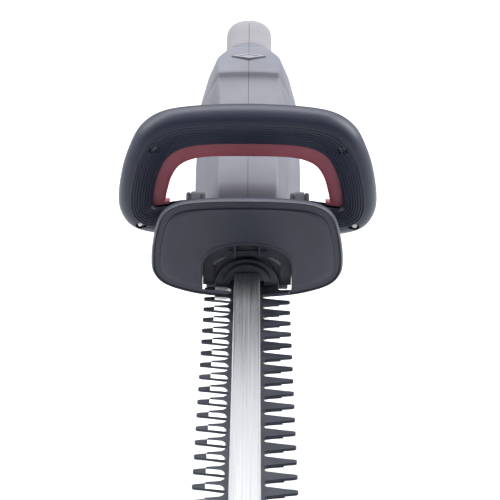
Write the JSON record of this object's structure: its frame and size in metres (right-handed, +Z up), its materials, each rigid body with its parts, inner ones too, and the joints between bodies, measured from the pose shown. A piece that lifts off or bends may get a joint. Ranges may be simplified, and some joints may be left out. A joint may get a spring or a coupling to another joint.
{
  "type": "hedge trimmer",
  "caption": "Corded double-action hedge trimmer with a loop front handle, hand guard, rear handle with trigger, and reciprocating toothed blades on a flat bar.",
  "frame": {"origin": "where the crank axis meets the gear case's flat underside", "axes": "+Z up through the gear case, +Y towards the rear handle, -Y along the blades, +X to the right as seen from the blade tip"},
  "size_m": [0.2488, 1.0629, 0.1659],
  "materials": {
    "body_plastic": "fine spark-eroded texture, semi-matt",
    "handle_plastic": "fine texture, satin",
    "guard_plastic": "smooth satin",
    "nose_plastic": "fine texture",
    "grip_rubber": "soft matt overmould",
    "switch_red": "satin",
    "button_grey": "satin",
    "clamp_grey": "satin",
    "gearcase_alloy": "painted die casting",
    "cover_steel": "zinc plated",
    "blade_steel": "blackened, ground on the short teeth",
    "bar_aluminium": "fine brushed along its length",
    "zinc_steel": "bright zinc",
    "gear_steel": "oiled steel",
    "shaft_steel": "ground",
    "bush_bronze": "sintered",
    "motor_iron": "laminated",
    "copper": "enamelled wire and copper bars",
    "dark_plastic": "satin",
    "brush_carbon": "matt carbon",
    "pin_brass": "bright"
  },
  "bodies": {
    "housing": {"bearing_lower": "shaft_steel", "bearing_upper": "shaft_steel", "blade_bar": "bar_aluminium", "blade_bolt_1": "zinc_steel", "blade_bolt_2": "zinc_steel", "blade_bolt_3": "zinc_steel", "blade_bolt_4": "zinc_steel", "body_screw_1": "zinc_steel", "body_screw_2": "zinc_steel", "body_screw_3": "zinc_steel", "body_screw_4": "zinc_steel", "body_shell_left": "body_plastic", "body_shell_right": "body_plastic", "bracket_screw_left": "zinc_steel", "bracket_screw_right": "zinc_steel", "carbon_brush_left": "brush_carbon", "carbon_brush_right": "brush_carbon", "clamp_bolt_left": "zinc_steel", "clamp_bolt_right": "zinc_steel", "clamp_left": "clamp_grey", "clamp_right": "clamp_grey", "crank_bush_lower": "bush_bronze", "crank_bush_upper": "bush_bronze", "gearcase_cover": "cover_steel", "gearcase_housing": "gearcase_alloy", "grip_pad_left": "grip_rubber", "grip_pad_right": "grip_rubber", "guard_screw_left": "zinc_steel", "guard_screw_right": "zinc_steel", "hand_guard": "guard_plastic", "handle_bracket": "cover_steel", "handle_front_shell": "handle_plastic", "handle_rear_shell": "handle_plastic", "handle_screw_1": "zinc_steel", "handle_screw_2": "zinc_steel", "handle_screw_3": "zinc_steel", "handle_screw_4": "zinc_steel", "handle_switch": "dark_plastic", "inlet_pin_left": "pin_brass", "inlet_pin_right": "pin_brass", "motor_bracket": "dark_plastic", "motor_stator": "motor_iron", "nose_cover": "nose_plastic", "power_inlet": "dark_plastic", "trigger_spring": "zinc_steel", "trigger_switch": "dark_plastic"},
    "upper_blade": {"upper_blade": "blade_steel"},
    "lower_blade": {"lower_blade": "blade_steel"},
    "armature": {"armature": "copper", "motor_shaft": "shaft_steel", "commutator": "copper", "cooling_fan": "dark_plastic", "pinion": "gear_steel"},
    "crank": {"crank_gear": "gear_steel", "upper_cam": "gear_steel", "lower_cam": "gear_steel", "crank_shaft": "shaft_steel"},
    "trigger": {"trigger": "switch_red"},
    "switch_bar": {"switch_bar": "switch_red"},
    "lock_off_button": {"lock_off_button": "button_grey"}
  },
  "joints": [
    {"name": "upper_blade_slide", "type": "slide", "parent": "housing", "child": "upper_blade", "axis": [0, 1, 0], "range_m": [-0.005, 0.005]},
    {"name": "lower_blade_slide", "type": "slide", "parent": "housing", "child": "lower_blade", "axis": [0, 1, 0], "range_m": [-0.005, 0.005]},
    {"name": "motor_spin", "type": "hinge", "parent": "housing", "child": "armature", "pos_m": [0, 0.0422, 0], "axis": [0, 0, 1], "continuous": true},
    {"name": "crank_spin", "type": "hinge", "parent": "housing", "child": "crank", "pos_m": [0, 0, 0], "axis": [0, 0, 1], "continuous": true},
    {"name": "trigger_pull", "type": "hinge", "parent": "housing", "child": "trigger", "pos_m": [0, 0.25, 0.133], "axis": [1, 0, 0], "range_deg": [0, 7], "stiffness_Nm_per_rad": 1.5, "springref_deg": -5.73, "deforming": ["trigger_spring"]},
    {"name": "switch_bar_squeeze", "type": "slide", "parent": "housing", "child": "switch_bar", "axis": [0, 0, 1], "range_m": [0, 0.004], "stiffness_N_per_m": 2000, "springref_m": -0.001},
    {"name": "lock_off_press", "type": "slide", "parent": "housing", "child": "lock_off_button", "axis": [0, 0, -1], "range_m": [0, 0.003], "stiffness_N_per_m": 1500, "springref_m": -0.001}
  ],
  "couplings": [
    {"joint": "lower_blade_slide", "follows": "upper_blade_slide", "ratio": -1},
    {"joint": "crank_spin", "follows": "motor_spin", "ratio": -0.16667}
  ]
}
